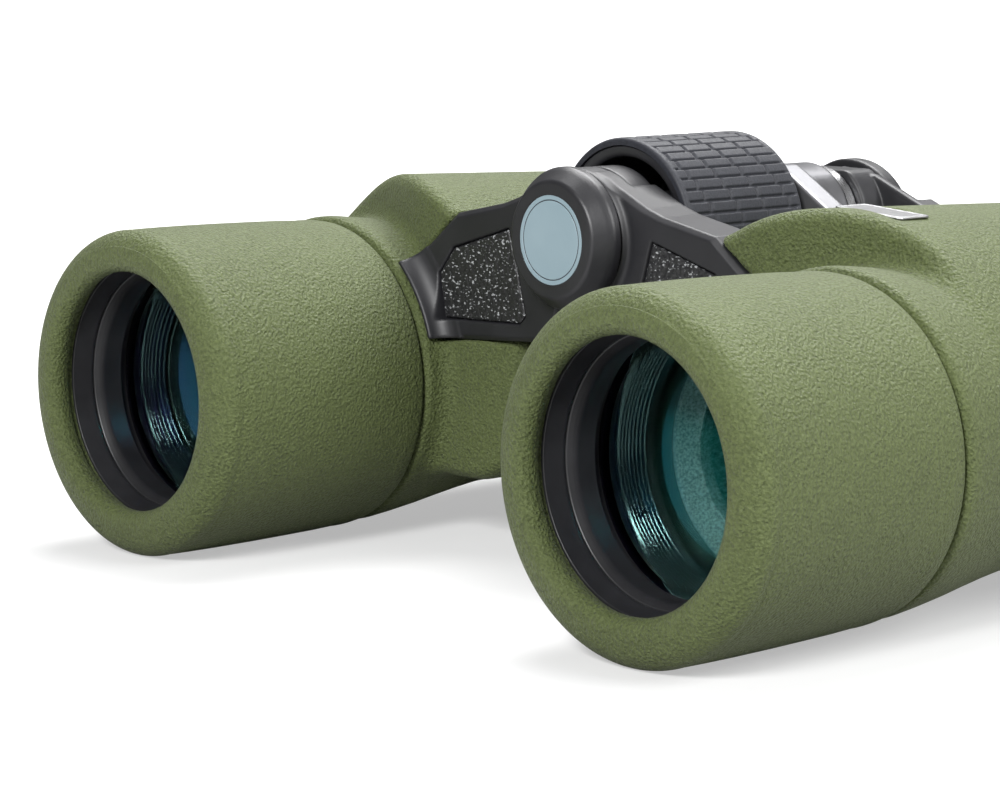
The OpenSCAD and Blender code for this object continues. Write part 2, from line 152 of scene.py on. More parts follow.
def lathe_mesh(outline, centre, segments=128, shape=None):
    """Turns a closed (radius, station) outline about an axis along s through centre."""
    outline = np.array(outline, float)
    turns = np.linspace(0, 2 * np.pi, segments, endpoint=False)
    radius = np.repeat(outline[None, :, 0], segments, 0)
    station = np.repeat(outline[None, :, 1], segments, 0)
    angle = np.repeat(turns[:, None], len(outline), 1)
    if shape:
        radius, station = shape(radius, station, angle)
    points = np.stack(
        [centre[0] + radius * np.cos(angle), station, centre[1] + radius * np.sin(angle)], -1
    ).reshape(-1, 3)
    n = len(outline)
    following = np.roll(outline, -1, axis=0)
    area = np.sum(outline[:, 0] * following[:, 1] - following[:, 0] * outline[:, 1])
    on_axis = outline[:, 0] < 1e-6
    faces = []
    for i in range(segments):
        j = (i + 1) % segments
        for k in range(n):
            m = (k + 1) % n
            quad = [i * n + k, i * n + m, j * n + m, j * n + k]
            if on_axis[k] and on_axis[m]:
                continue
            if on_axis[k]:
                quad = [k, i * n + m, j * n + m]
            elif on_axis[m]:
                quad = [i * n + k, m, j * n + k]
            faces.append(quad if area > 0 else quad[::-1])
    used = np.unique(np.concatenate([np.asarray(f) for f in faces]))
    renumber = np.full(len(points), -1)
    renumber[used] = np.arange(len(used))
    return points[used], [list(renumber[f]) for f in faces]


def lathe(name, outline, centre, material, body, side=1, segments=128, shape=None, **extra):
    points, faces = lathe_mesh(outline, centre, segments, shape)
    return add_mesh(name, points, faces, material, body, side, **extra)


# ---------------------------------------------------------------- solids as distance fields


def round_and(a, b, r):
    """Where both fields are inside, with the edge rounded to radius r."""
    return np.minimum(-r, np.maximum(a, b)) + np.hypot(np.maximum(r + a, 0), np.maximum(r + b, 0))


def round_or(a, b, r):
    return -round_and(-a, -b, r)


def disc(x, h, centre, radius):
    return np.hypot(x - centre[0], h - centre[1]) - radius


def slab(s, first, last):
    return np.maximum(first - s, s - last)


def box_field(a, b, half_a, half_b, corner):
    """Rounded rectangle about the origin in two coordinates."""
    p, q = np.abs(a) - half_a + corner, np.abs(b) - half_b + corner
    return np.hypot(np.maximum(p, 0), np.maximum(q, 0)) + np.minimum(np.maximum(p, q), 0) - corner


def polygon(x, h, points, origin=HINGE):
    """Signed distance to an outline given as (x, h) from origin."""
    pts = np.array(points, float) + origin
    nearest = np.inf
    crossings = False
    for k in range(len(pts)):
        (ax, ah), (bx, bh) = pts[k - 1], pts[k]
        ex, eh = bx - ax, bh - ah
        px, ph = x - ax, h - ah
        t = np.clip((px * ex + ph * eh) / (ex * ex + eh * eh), 0, 1)
        nearest = np.minimum(nearest, (px - t * ex) ** 2 + (ph - t * eh) ** 2)
        over = (ah > h) != (bh > h)
        crossings = crossings ^ (over & (x < ax + ex * (h - ah) / (eh if eh else 1e-9)))
    return np.where(crossings, -1, 1) * np.sqrt(nearest)


CORNERS = np.array([(i, j, k) for i in (0, 1) for j in (0, 1) for k in (0, 1)])
EDGES = [
    (a, b) for a in range(8) for b in range(a + 1, 8) if np.abs(CORNERS[a] - CORNERS[b]).sum() == 1
]


def skin(field, low, high, step, passes=4):
    """Closed quad mesh of field = 0 by surface nets, then moved onto the true surface."""
    low = np.array(low, float)
    counts = [int(math.ceil((b - a) / step)) + 1 for a, b in zip(low, high)]
    axes = [low[i] + step * np.arange(counts[i]) for i in range(3)]
    grid = field(axes[0][:, None, None], axes[1][None, :, None], axes[2][None, None, :])
    grid = np.ascontiguousarray(np.broadcast_to(grid, counts))
    inside = grid < 0
    total = np.zeros([n - 1 for n in counts], np.int8)
    for c in CORNERS:
        window = tuple(slice(c[i], counts[i] - 1 + c[i]) for i in range(3))
        total += inside[window]
    cells = np.argwhere((total > 0) & (total < 8))
    ids = np.full(total.shape, -1, np.int64)
    ids[tuple(cells.T)] = np.arange(len(cells))
    values = np.stack([grid[tuple((cells + c).T)] for c in CORNERS], 1)
    place = np.zeros((len(cells), 3))
    hits = np.zeros(len(cells))
    for a, b in EDGES:
        cross = (values[:, a] < 0) != (values[:, b] < 0)
        gap = np.where(cross, values[:, a] - values[:, b], 1)
        t = np.where(cross, values[:, a] / gap, 0)[:, None]
        place += np.where(cross[:, None], CORNERS[a] * (1 - t) + CORNERS[b] * t, 0)
        hits += cross
    points = low + step * (cells + place / hits[:, None])
    quads = []
    for k in range(3):
        i, j = (k + 1) % 3, (k + 2) % 3
        first = [slice(1, n - 1) for n in counts]
        first[k] = slice(0, counts[k] - 1)
        second = list(first)
        second[k] = slice(1, counts[k])
        begin, finish = inside[tuple(first)], inside[tuple(second)]
        spots = np.argwhere(begin != finish)
        start_inside = begin[tuple(spots.T)]
        offset = np.ones(3, int)
        offset[k] = 0
        spots = spots + offset
        unit_i, unit_j = np.eye(3, dtype=int)[i], np.eye(3, dtype=int)[j]
        around = [spots - unit_i - unit_j, spots - unit_j, spots, spots - unit_i]
        quad = np.stack([ids[tuple(a.T)] for a in around], 1)
        quad[~start_inside] = quad[~start_inside][:, ::-1]
        quads.append(quad)
    quads = np.concatenate(quads)
    nudge = step * 0.05
    for _ in range(passes):
        x, s, h = points.T
        value = field(x, s, h)
        slope = np.stack(
            [
                field(x + nudge, s, h) - field(x - nudge, s, h),
                field(x, s + nudge, h) - field(x, s - nudge, h),
                field(x, s, h + nudge) - field(x, s, h - nudge),
            ],
            1,
        ) / (2 * nudge)
        size = np.maximum((slope**2).sum(1), 0.3)
        move = -(value / size)[:, None] * slope
        length = np.maximum(np.linalg.norm(move, axis=1), 1e-9)
        points = points + move * np.minimum(1, 0.5 * step / length)[:, None]
    return points, quads


def carve(name, field, low, high, step, material, body, side=1, **extra):
    """A piece from a distance field in half coordinates."""
    points, quads = skin(field, low, high, step)
    return add_mesh(name, points, list(quads), material, body, side, **extra)


# ---------------------------------------------------------------- materials


class Surface:
    """A principled material with helpers for procedural colour, roughness and bump."""

    def __init__(self, name, roughness, metallic=0.0, specular=0.5):
        self.material = bpy.data.materials.new(name)
        self.material.use_nodes = True
        self.nodes = self.material.node_tree.nodes
        self.links = self.material.node_tree.links
        self.shader = self.nodes["Principled BSDF"]
        self.shader.inputs["Roughness"].default_value = roughness
        self.shader.inputs["Metallic"].default_value = metallic
        self.shader.inputs["Specular IOR Level"].default_value = specular
        self.place = self.nodes.new("ShaderNodeTexCoord").outputs["Object"]
        self.bump = None

    def stretched(self, scale):
        node = self.nodes.new("ShaderNodeMapping")
        node.inputs["Scale"].default_value = scale
        self.links.new(self.place, node.inputs["Vector"])
        return node.outputs["Vector"]

    def noise(self, size_mm, detail=2.0, rough=0.5, stretch=(1, 1, 1)):
        node = self.nodes.new("ShaderNodeTexNoise")
        node.inputs["Scale"].default_value = 1 / (size_mm * MM)
        node.inputs["Detail"].default_value = detail
        node.inputs["Roughness"].default_value = rough
        self.links.new(self.stretched(stretch), node.inputs["Vector"])
        return node.outputs["Fac"]

    def cells(self, size_mm, feature="SMOOTH_F1", stretch=(1, 1, 1)):
        node = self.nodes.new("ShaderNodeTexVoronoi")
        node.feature = feature
        node.inputs["Scale"].default_value = 1 / (size_mm * MM)
        self.links.new(self.stretched(stretch), node.inputs["Vector"])
        return node.outputs["Distance"]

    def spread(self, value, low, high, to_low=0.0, to_high=1.0):
        node = self.nodes.new("ShaderNodeMapRange")
        limits = {"From Min": low, "From Max": high, "To Min": to_low, "To Max": to_high}
        for socket, number in limits.items():
            node.inputs[socket].default_value = number
        self.links.new(value, node.inputs["Value"])
        return node.outputs["Result"]

    def blend(self, value, first, second):
        """Colour between two colours, or between an output and a colour."""
        node = self.nodes.new("ShaderNodeMix")
        node.data_type = "RGBA"
        self.links.new(value, node.inputs[0])
        for socket, colour in ((node.inputs[6], first), (node.inputs[7], second)):
            if isinstance(colour, tuple):
                socket.default_value = (*colour, 1)
            else:
                self.links.new(colour, socket)
        return node.outputs[2]

    def station(self):
        """Place along the barrels, in metres of the row frame."""
        node = self.nodes.new("ShaderNodeSeparateXYZ")
        self.links.new(self.place, node.inputs[0])
        return node.outputs["Y"]

    def product(self, first, second):
        node = self.nodes.new("ShaderNodeMath")
        node.operation = "MULTIPLY"
        self.links.new(first, node.inputs[0])
        self.links.new(second, node.inputs[1])
        return node.outputs[0]

    def colour(self, value):
        self.links.new(value, self.shader.inputs["Base Color"])

    def roughness(self, value):
        self.links.new(value, self.shader.inputs["Roughness"])

    def raise_by(self, height, depth_mm, strength=1.0):
        node = self.nodes.new("ShaderNodeBump")
        node.inputs["Strength"].default_value = strength
        node.inputs["Distance"].default_value = depth_mm * MM
        self.links.new(height, node.inputs["Height"])
        if self.bump:
            self.links.new(self.bump, node.inputs["Normal"])
        self.bump = node.outputs["Normal"]
        self.links.new(self.bump, self.shader.inputs["Normal"])


def pebbled_rubber(name, dark, light, grain_mm, depth_mm):
    """Matt moulded rubber with a fine pebble grain and slight drifts of colour."""
    s = Surface(name, 0.6, specular=0.42)
    pebbles = s.cells(grain_mm)
    fine = s.noise(grain_mm * 0.9, 3, 0.6)
    drift = s.noise(26, 2)
    grain = s.spread(fine, 0.38, 0.64)
    s.colour(s.blend(s.spread(drift, 0.3, 0.7, 0, 0.35), s.blend(grain, dark, light), light))
    s.roughness(s.spread(fine, 0.3, 0.7, 0.66, 0.5))
    s.raise_by(fine, depth_mm)
    s.raise_by(pebbles, depth_mm * 0.9, 0.7)
    s.shader.inputs["Sheen Weight"].default_value = 0.06
    s.shader.inputs["Sheen Roughness"].default_value = 0.5
    return s.material


def painted(name, dark, light, roughness, grain_mm=0.25, depth_mm=0.006, metallic=0.0, specular=0.5):
    """Satin paint or moulded plastic: fine orange peel, faint wear in colour and gloss."""
    s = Surface(name, roughness, metallic, specular)
    peel = s.noise(grain_mm, 3, 0.6)
    drift = s.noise(14, 3, 0.6)
    s.colour(s.blend(s.spread(drift, 0.3, 0.7), dark, light))
    s.roughness(s.spread(drift, 0.25, 0.75, roughness - 0.05, roughness + 0.07))
    s.raise_by(peel, depth_mm)
    return s.material


def turned_metal(name, dark, light, roughness, stretch=(1, 14, 1)):
    """Turned metal: fine rings around the barrel axis."""
    s = Surface(name, roughness, 1.0)
    rings = s.noise(1.6, 4, 0.7, stretch)
    s.colour(s.blend(s.spread(rings, 0.3, 0.7), dark, light))
    s.roughness(s.spread(rings, 0.3, 0.7, roughness + 0.08, roughness - 0.04))
    s.raise_by(rings, 0.01)
    return s.material


def leather_grain(name, dark, light):
    """Wrinkled inset: short creases with small glints on their crests, and light flecks painted into the
    colour as painted glints.
    """
    s = Surface(name, 0.36, specular=0.6)
    wrinkles = s.cells(1.1, "DISTANCE_TO_EDGE", (1, 1, 0.7))
    fine = s.noise(0.5, 3, 0.6)
    painted_glint_flecks = s.noise(0.62, 2, 0.5, (0.8, 1, 1.5))
    ground = s.blend(s.spread(fine, 0.35, 0.7), dark, light)
    # the light grey flecks mixed into the colour are painted glints, not the inset's own colour
    s.colour(s.blend(s.spread(painted_glint_flecks, 0.60, 0.68), ground, (0.34, 0.35, 0.36)))
    s.roughness(s.spread(fine, 0.35, 0.65, 0.5, 0.28))
    s.raise_by(s.spread(wrinkles, 0.0, 0.25), 0.07, 0.6)
    s.raise_by(fine, 0.12, 0.9)
    return s.material


def coated_glass(name, clear, coated_to=1000.0):
    """Refracting glass; the coating's reflection shifts from green to violet with the angle.

    Only surfaces in front of station coated_to carry the coloured coating.
    """
    s = Surface(name, 0.03)
    nodes, links = s.nodes, s.links
    facing = nodes.new("ShaderNodeLayerWeight")
    facing.inputs["Blend"].default_value = 0.5
    ramp = nodes.new("ShaderNodeValToRGB")
    stops = [
        (0.0, (0.10, 0.42, 0.22)), (0.2, (0.03, 0.40, 0.30)), (0.3, (0.02, 0.34, 0.33)),
        (0.38, (0.03, 0.24, 0.42)), (0.48, (0.08, 0.14, 0.48)), (0.62, (0.22, 0.10, 0.46)),
        (1.0, (0.7, 0.7, 0.8)),
    ]
    while len(ramp.color_ramp.elements) < len(stops):
        ramp.color_ramp.elements.new(0.5)
    for element, (where, tint) in zip(ramp.color_ramp.elements, stops):
        element.position = where
        element.color = (*tint, 1)
    links.new(facing.outputs["Facing"], ramp.inputs["Fac"])
    haze = s.noise(9, 2)
    s.colour(s.blend(s.spread(haze, 0.3, 0.7, 0, 0.25), ramp.outputs["Color"], (0.02, 0.22, 0.26)))
    s.shader.inputs["Metallic"].default_value = 1.0
    glass = nodes.new("ShaderNodeBsdfRefraction")
    glass.inputs["Color"].default_value = (*clear, 1)
    glass.inputs["Roughness"].default_value = 0.0
    glass.inputs["IOR"].default_value = 1.52
    edge = STATION_0 + coated_to * MM
    front = s.spread(s.station(), edge - 0.5 * MM, edge + 0.5 * MM, 1.0, 0.0)
    strength = s.product(s.spread(facing.outputs["Facing"], 0.1, 0.9, 0.05, 0.35), front)
    mix = nodes.new("ShaderNodeMixShader")
    links.new(strength, mix.inputs["Fac"])
    links.new(glass.outputs[0], mix.inputs[1])
    links.new(s.shader.outputs[0], mix.inputs[2])
    links.new(mix.outputs[0], nodes["Material Output"].inputs["Surface"])
    return s.material


def baffle_metal(name, stop_station):
    """Dark glossy ridged tube; the stop ring from stop_station on is grey and granular."""
    s = Surface(name, 0.15, specular=0.9)
    start = STATION_0 + stop_station * MM
    ring = s.spread(s.station(), start - 0.1 * MM, start + 0.1 * MM)
    speck = s.noise(0.35, 3, 0.7)
    grey = s.blend(s.spread(speck, 0.35, 0.68), (0.07, 0.08, 0.08), (0.36, 0.37, 0.37))
    tube = s.blend(s.noise(4, 2), (0.012, 0.014, 0.014), (0.022, 0.025, 0.025))
    s.colour(s.blend(ring, tube, grey))
    s.roughness(s.spread(ring, 0, 1, 0.16, 0.55))
    s.raise_by(speck, 0.006)
    return s.material


def prism_glass(name):
    """Prisms seen only through the lens: glossy and bluish; their near-black colour is painted shade for
    the unlit inside of the housing.
    """
    s = Surface(name, 0.06, specular=0.7)
    tint = s.noise(12, 2)
    # near-black colour: painted shade of the dark inside of the housing, not clear prism glass
    s.colour(s.blend(s.spread(tint, 0.3, 0.7), (0.006, 0.022, 0.026), (0.010, 0.034, 0.040)))
    s.shader.inputs["IOR"].default_value = 1.57
    return s.material


GREEN = pebbled_rubber("armour_rubber", (0.050, 0.066, 0.016), (0.092, 0.118, 0.034), 0.55, 0.5)
CUP_RUBBER = pebbled_rubber("cup_rubber", (0.010, 0.010, 0.011), (0.022, 0.022, 0.024), 0.5, 0.03)
GRIP_RUBBER = pebbled_rubber("grip_rubber", (0.012, 0.013, 0.018), (0.022, 0.024, 0.032), 0.4, 0.02)
SATIN_BLACK = painted("satin_black", (0.011, 0.011, 0.013), (0.018, 0.018, 0.021), 0.46)
CAP_BLACK = painted("cap_black", (0.012, 0.012, 0.014), (0.022, 0.022, 0.025), 0.40, 0.35, 0.02)
BLACK_PLASTIC = painted("black_plastic", (0.014, 0.014, 0.016), (0.022, 0.022, 0.025), 0.42)
GREY_METAL = painted("satin_grey_metal", (0.20, 0.20, 0.21), (0.27, 0.27, 0.285), 0.33, metallic=0.8)
DARK_METAL = painted("black_metal", (0.012, 0.012, 0.013), (0.022, 0.022, 0.024), 0.4, 0.3, 0.01)
RIDGE_METAL = baffle_metal("ridge_metal", 37.8)
CAST_METAL = painted("cast_metal", (0.035, 0.035, 0.038), (0.06, 0.06, 0.065), 0.55, 0.6, 0.03, 0.3)
STEEL = turned_metal("turned_steel", (0.42, 0.42, 0.43), (0.62, 0.62, 0.63), 0.26)
BADGE = painted("badge_blue_grey", (0.22, 0.30, 0.34), (0.25, 0.33, 0.37), 0.45, 0.2, 0.003)
PLATE = turned_metal("plate_grey", (0.26, 0.26, 0.27), (0.40, 0.40, 0.40), 0.38, (14, 1, 1))
LEATHER = leather_grain("grained_inset", (0.008, 0.008, 0.009), (0.020, 0.020, 0.022))
LENS = coated_glass("coated_glass", (0.80, 0.93, 0.92), 17.9)
EYE_LENS = coated_glass("eye_lens_glass", (0.80, 0.93, 0.92))
PRISM = prism_glass("prism_glass")


# ---------------------------------------------------------------- objective end

# how far the outside of the bell sits below its bore
BELL_DROP = 0.5
BELL_REAR = 46.4
BELL_BORE_R = 26.95
RIDGE_START, RIDGE_PITCH, RIDGE_COUNT = 24.8, 1.07, 8


def bell_outline():
    """Sleeve with a round lip, a soft crease behind it and a rolled rear edge."""
    lip = arc((24.3, 2.15), (5.75, 4.25), 14, -90, 18) + arc((24.3, 0.2), 2.3, -98, -180, 12)
    rear = rounded([
        (BELL_BORE_R, 2.4), (BELL_BORE_R, BELL_REAR, 0.2), (28.2, BELL_REAR, 0.6),
        (29.05, 45.7, 0.8), (29.45, 43.0, 1.5),
    ])
    barrel = [
        (29.62, 36), (29.8, 29), (29.95, 22), (30.05, 14), (30.06, 8), (30.03, 4.4), (29.95, 3.4),
    ]
    return rear[1:] + barrel + lip + [(22.1, 1.0), (22.5, 1.9), (23.4, 2.3)]


def dropped(radius, station, angle):
    """The outside of the bell sits a little lower than its bore, and the lip's inside doesn't."""
    lower = np.clip((radius - 24.3) / 3, 0, 1) * (radius > 27)
    return radius - BELL_DROP * lower * np.sin(angle), station


def retainer_outline():
    return rounded([
        (22.95, 3.4, 0.15), (23.5, 3.4, 0.1), (23.5, 7.35, 0.1), (22.1, 7.35, 0.1), (22.1, 6.9, 0.1),
    ])


def cell_outline():
    return rounded([
        (21.95, 7.5, 0.2), (23.5, 7.5, 0.2), (23.5, 24.3, 0.1), (22.3, 24.3, 0.1), (22.3, 13.2),
        (21.1, 13.2, 0.15), (21.1, 9.2, 0.4), (21.45, 8.4, 0.2),
    ])


def lens_outline(radius, front, rear, front_bow, rear_bow, count=14):
    """Both faces bulge; bow is each face's radius of curvature."""
    across = np.linspace(0, radius, count)
    face = [(r, front + front_bow - math.sqrt(front_bow**2 - r * r)) for r in across]
    back = [(r, rear - rear_bow + math.sqrt(rear_bow**2 - r * r)) for r in across[::-1]]
    return face[:-1] + [(radius - 0.1, face[-1][1]), (radius, face[-1][1] + 0.1)] + [
        (radius, back[0][1] - 0.1), (radius - 0.1, back[0][1])] + back[1:]


def baffle_outline():
    """Tube with fine light-trap ridges, then a bevelled stop ring."""
    ridges = []
    for k in range(RIDGE_COUNT):
        s = RIDGE_START + RIDGE_PITCH * k
        ridges += [
            (22.9, s), (22.9, s + 0.4), (22.02, s + 0.6),
            (21.9, s + 0.7), (21.9, s + 0.8), (22.02, s + 0.88),
        ]
    stop = rounded([
        (22.6, 37.3, 0.2), (20.8, 37.9, 0.2), (17.7, 38.05, 0.12), (17.9, 39.5, 0.1), (22.7, 39.6, 0.2),
    ])
    outside = [(22.7, 50.5), (23.45, 50.5), (23.45, 24.75)]
    return ([(22.9, 24.75)] + ridges + [(22.6, 33.5)] + stop + outside)[::-1]


def tube_outline():
    return rounded([
        (23.6, 2.15, 0.2), (26.85, 2.15, 0.3), (26.85, 46.3, 0.2), (24.9, 46.3),
        (24.9, 52.4, 0.2), (23.6, 52.4, 0.2),
    ])


def objective_end(side):
    body, prefix = BODY[side], SIDE_NAME[side]

    def turned(node, outline, material, slot, segments=144, shape=None):
        lathe(f"{prefix}_{node}_detail", outline, OBJECTIVE, material, body, side, segments,
              shape, slot=slot, replaces=(f"{prefix}_{node}",), sharp=40)

    turned("bell_armour", bell_outline(), GREEN, "armour_rubber", 224, dropped)
    turned("objective_tube", tube_outline(), DARK_METAL, "black_metal")
    turned("lens_retainer", retainer_outline(), DARK_METAL, "black_metal")
    turned("objective_cell", cell_outline(), DARK_METAL, "black_metal")
    lens = lens_outline(22.15, front=12.6, rear=23.2, front_bow=110, rear_bow=160)
    turned("objective_lens", lens, LENS, "coated_glass")
    turned("baffle_tube", baffle_outline(), RIDGE_METAL, "black_metal")


# ---------------------------------------------------------------- prism housing

LOBE_STATIONS = [46, 49.5, 54, 60, 65, 71, 77.5, 82, 120]
LOBE_RADII = [29.3, 29.3, 28.8, 28.0, 27.2, 26.3, 25.5, 25.3, 25.3]
UPPER_LOBE, UPPER_LOBE_R = (54, 1.5), 36
# the upper lobe falls towards the rear from this station on
FALL_START, FALL_SLOPE = 58, 0.036
UNDERSIDE_H = -18
CROWN_FACE = 61.5
# the crown's inner corner is turned about this upright axis (x, s)
CROWN_BOW, CROWN_BOW_R = (33.1, 103.2), 51.5
ARM_REAR = span("left_front_arm")[1]
HOUSING_END = span("left_housing_armour")[1]
WHEEL_ROOM = 20.5
SKIN = 1.9
SIDE_GAP, END_GAP = 0.22, 0.25
PLATE_X, PLATE_S, PLATE_H, PLATE_TILT = 56.8, 67.5, 36.35, 4.5

FRONT_ARM = [
    (2, 11.6), (6.5, 10.8), (16.5, 6.2), (20.5, 4.9), (33, 2.4), (39.4, -2.7), (45.8, -7.7),
    (51.6, -9.2), (50, -15), (43, -21.6), (16.3, -20.1), (6.5, -19.4), (2, -14),
]
PAD = [
    (18.6, 0.2), (33.6, -4.2), (37.4, -9), (36.2, -17.2), (15.6, -16.6), (14.2, -15.2), (16.4, -7),
]


def rear_arm_outline(side):
    if side > 0:
        return [(0, 11.4), (8.5, 11.2), (11.5, 9.6), (24, 1.8), (26, -6), (26, -16), (8, -10), (0, -9)]
    return [(0, 9.8), (4.5, 9.6), (11.5, 6.2), (24, 1.8), (26, -6), (26, -16), (8, -10), (0, -9)]


def lobe_field(x, s, h):
    return np.hypot(x - OBJECTIVE_X, h) - np.interp(s, LOBE_STATIONS, LOBE_RADII)


def housing_outer(x, s, h):
    """Outer surface of the armour before its ends and openings are cut."""
    fall = FALL_SLOPE * np.maximum(s - FALL_START, 0)
    upper = disc(x, h + fall, UPPER_LOBE, UPPER_LOBE_R)
    upper = round_or(upper, disc(x, h, EYEPIECE, 15), 4)
    upper = round_and(upper, UNDERSIDE_H - h, 5)
    upper = round_and(upper, WHEEL_ROOM - np.hypot(x, h - HINGE_H), 1.6)
    face = round_or(disc(x, s, CROWN_BOW, CROWN_BOW_R), CROWN_FACE - s, 7)
    crown = round_and(upper, face, 2.6)
    lobe = round_and(lobe_field(x, s, h), 46.75 - s, 1.3)
    return round_or(crown, lobe, 3.6)


def plate_coordinates(x, s, h):
    """Across, along and up from the plate's middle; the plate tilts with the crown."""
    turn_x, turn_h = math.cos(math.radians(PLATE_TILT)), math.sin(math.radians(PLATE_TILT))
    across, up = x - PLATE_X, h - PLATE_H
    return across * turn_x - up * turn_h, s - PLATE_S, across * turn_h + up * turn_x


def armour_field(side):
    def field(x, s, h):
        outer = housing_outer(x, s, h)
        shell = round_and(outer, s - HOUSING_END, 0.8)
        hollow = np.maximum(outer + SKIN, 50.5 - s)
        shell = np.maximum(shell, -hollow)
        shell = np.maximum(shell, 25.1 - np.hypot(x - OBJECTIVE_X, h))
        collar = np.maximum(lobe_field(x, s, h) - 0.1, s - 51.4)
        cut = np.maximum(polygon(x, h, FRONT_ARM) - SIDE_GAP, s - ARM_REAR - END_GAP)
        cut = np.maximum(cut, -collar)
        shell = round_and(shell, -cut, 0.45)
        first, last = span(f"{SIDE_NAME[side]}_rear_arm")
        around = polygon(x, h, rear_arm_outline(side)) - SIDE_GAP
        rear = np.maximum(around, slab(s, first - END_GAP, last + END_GAP))
        shell = round_and(shell, -rear, 0.45)
        if side > 0:
            a, b, c = plate_coordinates(x, s, h)
            pocket = np.maximum(box_field(a, b, 7.7, 4.2, 1.2), -c)
            shell = round_and(shell, -pocket, 0.25)
        return shell

    return field


def plate_field(x, s, h):
    a, b, c = plate_coordinates(x, s, h)
    outline = box_field(a, b, 7.45, 3.95, 1.0)
    rim = np.abs(box_field(a, b, 6.7, 3.2, 0.6)) - 0.12
    plate = round_and(outline, np.maximum(c - 0.42, 0.05 - c), 0.1)
    return np.maximum(plate, -np.maximum(rim, 0.3 - c))


def lug_field(x, s, h):
    """Strap loop on the outer shoulder, rounded, rising out of the armour."""
    mid_s, mid_h = 100, 18
    bar = box_field(s - mid_s, x - 84.0, 7.9, 9.7, 3.0)
    loop = round_and(bar, np.abs(h - mid_h) - 1.95, 0.7)
    slot_hole = box_field(s - mid_s, x - 89.7, 5.2, 2.3, 1.4)
    loop = round_and(loop, -slot_hole, 0.6)
    return np.maximum(loop, -(housing_outer(x, s, h) + 2.0))


def housing(side):
    body, prefix = BODY[side], SIDE_NAME[side]
    carve(f"{prefix}_housing_armour_detail", armour_field(side), (13, 44.5, -31), (96, 117, 40), 0.75,
          GREEN, body, side, slot="armour_rubber", replaces=(f"{prefix}_housing_armour",))
    carve(f"{prefix}_strap_lug_detail", lug_field, (74, 90, 14), (95.5, 110, 22), 0.3,
          SATIN_BLACK, body, side, slot="satin_black", replaces=(f"{prefix}_strap_lug",))
    if side > 0:
        carve("left_top_plate_detail", plate_field, (47, 62, 33.8), (66, 73, 38.5), 0.2,
              PLATE, body, side, slot="plate_grey", replaces=("left_top_plate",))


# ---------------------------------------------------------------- bridge

ARM_FACE = 51.0
HUB_R = 12.45
# each plate ends short of the plane between the halves, more so further from the
# hinge, so that the two plates stay clear of each other over the whole hinge range
CLEAR_SLOPE, CLEAR_START = 0.34, 0.6
# cove along the collar: distance from the objective axis, station and radius
COVE_REACH, COVE_STATION, COVE_R = 34.6, 46.5, 4.3


def knuckle_stations(side):
    split = 55.45
    gap = 0.15
    return (49.9, split - gap) if side > 0 else (split + gap, ARM_REAR)


def front_arm_field(side):
    own = knuckle_stations(side)
    other = (own[1], 70) if side > 0 else (40, own[0])

    def field(x, s, h):
        outline = polygon(x, h, FRONT_ARM)
        face = ARM_FACE - s
        outline = np.maximum(outline, CLEAR_SLOPE * np.abs(h - HINGE_H) + CLEAR_START - x)
        plate = round_and(outline, face, 0.7)
        plate = np.maximum(plate, (outline + face + 0.9) * math.sqrt(0.5))
        plate = round_and(plate, s - ARM_REAR, 0.5)
        # cove between the plate and the rim of the collar
        reach = np.hypot(x - OBJECTIVE_X, h)
        rim = round_and(np.maximum(29.6 - reach, outline + 0.15), 47.3 - s, 0.35)
        rim = np.maximum(rim, np.maximum(s - 52, reach - 34.8))
        rim = round_and(rim, COVE_R - np.hypot(reach - COVE_REACH, s - COVE_STATION), 0.4)
        plate = round_or(plate, rim, 0.3)
        axis = np.hypot(x, h - HINGE_H)
        hub = round_and(axis - HUB_R, slab(s, *own), 0.6)
        arm = np.minimum(round_or(plate, hub, 1.2), hub)
        arm = np.maximum(arm, s - ARM_REAR)
        arm = np.maximum(arm, -(housing_outer(x, s, h) + 2.1))
        arm = np.maximum(arm, -np.maximum(lobe_field(x, s, h) - 0.2, s - 52.2))
        arm = np.maximum(arm, -np.maximum(axis - 13.1, slab(s, *other)))
        arm = np.maximum(arm, 5.65 - axis)
        pocket = np.maximum(polygon(x, h, PAD) - 0.3, s - 51.8)
        return round_and(arm, -pocket, 0.3)

    return field


def lattice(a, b, seed):
    """Repeatable random value in 0..1 for each whole-number pair."""
    return np.modf(np.abs(np.sin(a * 127.1 + b * 311.7 + seed * 74.7) * 43758.5453))[0]


def ripple(x, h, size, seed):
    """Smooth value noise in 0..1 with features of the given size in millimetres."""
    p, q = x / size, h / size
    i, j = np.floor(p), np.floor(q)
    u, v = p - i, q - j
    u, v = u * u * (3 - 2 * u), v * v * (3 - 2 * v)
    low = lattice(i, j, seed) * (1 - u) + lattice(i + 1, j, seed) * u
    high = lattice(i, j + 1, seed) * (1 - u) + lattice(i + 1, j + 1, seed) * u
    return low * (1 - v) + high * v


def pad_field(x, s, h):
    outline = polygon(x, h, PAD) - 0.05
    creases = 1 - np.abs(2 * ripple(x, h * 0.7, 1.0, 3) - 1)
    creases = creases * 0.6 + 0.4 * (1 - np.abs(2 * ripple(x * 1.3, h, 0.7, 8) - 1))
    face = 51.05 + 0.22 * creases**2
    return round_and(outline, np.maximum(face - s, s - 51.7), 0.35)


def rear_arm_field(side):
    first, last = span(f"{SIDE_NAME[side]}_rear_arm")
    knuckle = 11.8 if side > 0 else 10.6

    def field(x, s, h):
        axis = np.hypot(x, h - HINGE_H)
        outline = round_or(polygon(x, h, rear_arm_outline(side)), axis - knuckle, 0.8)
        arm = round_and(outline, slab(s, first, last), 0.5)
        arm = np.maximum(arm, -(housing_outer(x, s, h) + 2.1))
        return np.maximum(arm, 7.05 - axis)

    return field


